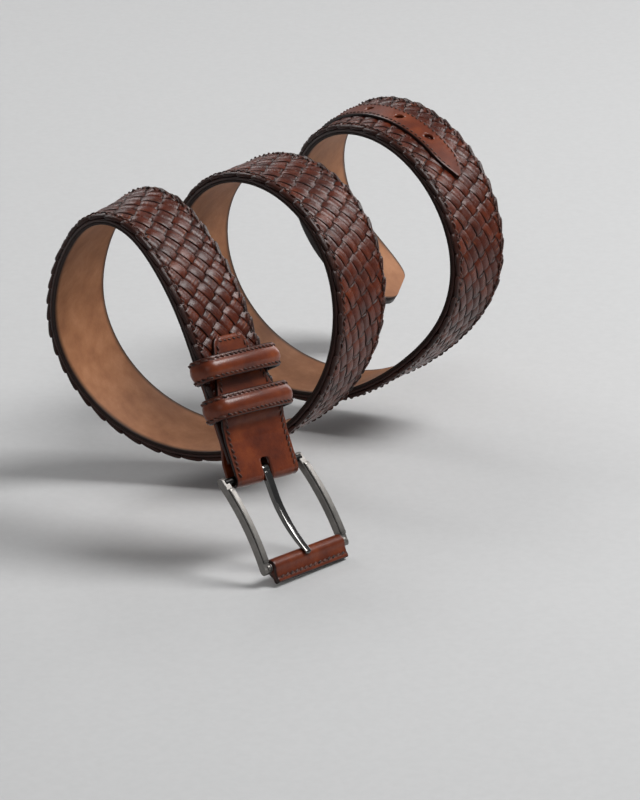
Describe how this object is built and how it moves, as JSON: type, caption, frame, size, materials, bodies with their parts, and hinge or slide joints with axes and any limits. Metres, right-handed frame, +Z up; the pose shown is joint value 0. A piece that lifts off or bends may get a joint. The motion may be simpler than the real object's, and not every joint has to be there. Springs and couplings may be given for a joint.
{
  "type": "leather belt",
  "caption": "Woven leather dress belt coiled round a display tube: prong buckle with a leather-wrapped end bar, stitched tab, two keepers and a holed strip.",
  "frame": {"origin": "on the axis of the display tube that the strap is wound round, near the middle of the coil", "axes": "+X along the display tube from the buckle end to the tip end, +Z up, -Y the side where the buckle hangs"},
  "size_m": [0.2866, 0.158, 0.1287],
  "materials": {
    "woven_leather": "semi-gloss burnished leather strips",
    "smooth_leather": "semi-gloss smooth cognac leather",
    "lining_leather": "matte tan leather",
    "backing_leather": "dark painted edge",
    "core_tape": "woven reinforcement tape",
    "thread": "waxed thread",
    "frame_metal": "satin gunmetal plating",
    "prong_metal": "polished gunmetal plating",
    "staple_steel": "plain wire"
  },
  "bodies": {
    "strap": {"lining": "lining_leather", "backing_strap": "backing_leather", "reinforcement_core": "core_tape", "woven_face": "woven_leather", "tip_leather": "smooth_leather", "edge_thread_left": "thread", "edge_thread_right": "thread", "tip_thread": "thread", "hole_strip": "smooth_leather", "hole_strip_thread": "thread", "buckle_tab": "smooth_leather", "buckle_tab_thread": "thread", "keeper_fixed": "smooth_leather", "keeper_fixed_lining": "backing_leather", "keeper_fixed_thread": "thread"},
    "sliding_keeper": {"keeper_sliding": "smooth_leather", "keeper_sliding_lining": "backing_leather", "keeper_sliding_thread": "thread", "keeper_staple": "staple_steel"},
    "buckle": {"buckle_frame": "frame_metal", "chape_bar": "frame_metal", "end_sleeve": "smooth_leather", "end_sleeve_thread": "thread"},
    "prong": {"prong": "prong_metal"}
  },
  "joints": [
    {"name": "buckle_swing", "type": "hinge", "parent": "strap", "child": "buckle", "pos_m": [-0.12951, -0.06929, -0.03248], "axis": [-0.9943, 0.1052, 0.019], "range_deg": [-50, 30]},
    {"name": "prong_swing", "type": "hinge", "parent": "buckle", "child": "prong", "pos_m": [-0.12951, -0.06929, -0.03248], "axis": [-0.9943, 0.1052, 0.019], "range_deg": [0, 78]},
    {"name": "keeper_slide", "type": "slide", "parent": "strap", "child": "sliding_keeper", "axis": [0.1271, 0.4631, 0.8771], "range_m": [-0.005, 0.01]}
  ]
}
